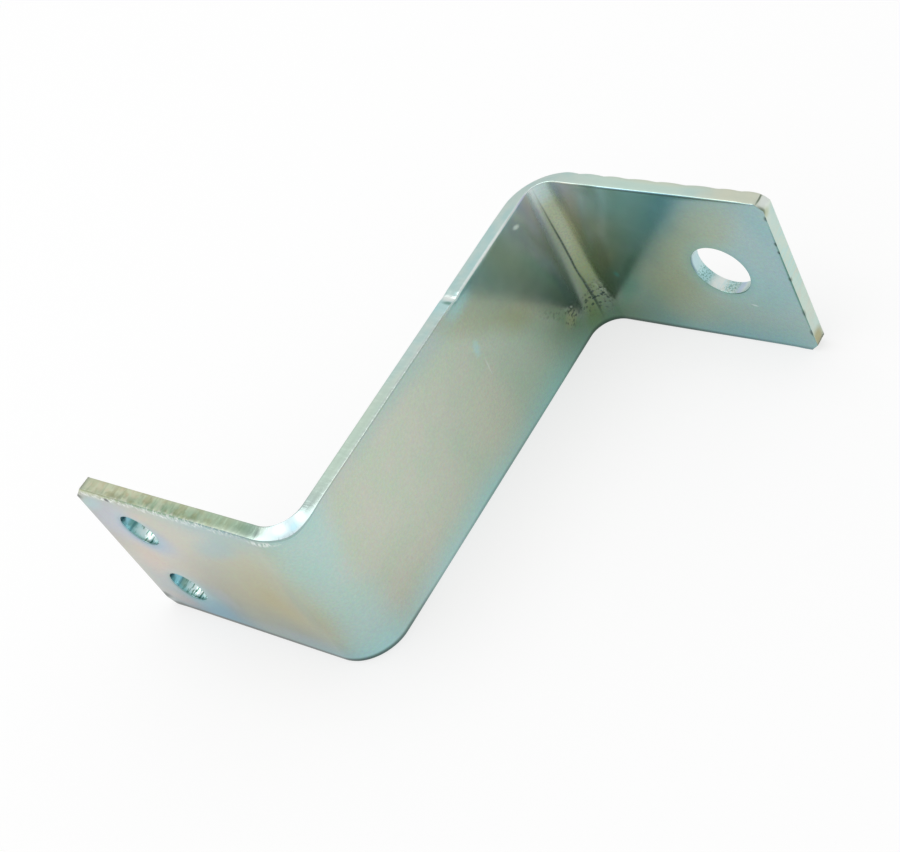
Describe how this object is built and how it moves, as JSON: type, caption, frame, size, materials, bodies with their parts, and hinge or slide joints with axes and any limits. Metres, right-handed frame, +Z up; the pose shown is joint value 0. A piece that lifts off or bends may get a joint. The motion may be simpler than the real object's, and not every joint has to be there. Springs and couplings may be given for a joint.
{
  "type": "pinball machine bracket",
  "caption": "Offset bracket folded from a zinc plated steel strip, with parallel feet pointing opposite ways, a large hole in one foot and a pair of small screw holes in the other.",
  "frame": {"origin": "on the surface it stands on, under the middle of the whole bracket, which stands on one long edge of the strip", "axes": "+Z up along the width of the strip, +X along the feet from the end of the long foot to the end of the short foot, +Y along the web from the long foot to the short foot"},
  "size_m": [0.069, 0.0596, 0.0254],
  "materials": {
    "zinc_plate": "satin bright zinc plate with a clear to pale blue, faintly rainbow chromate"
  },
  "bodies": {
    "root": {"bracket": "zinc_plate"}
  },
  "joints": []
}
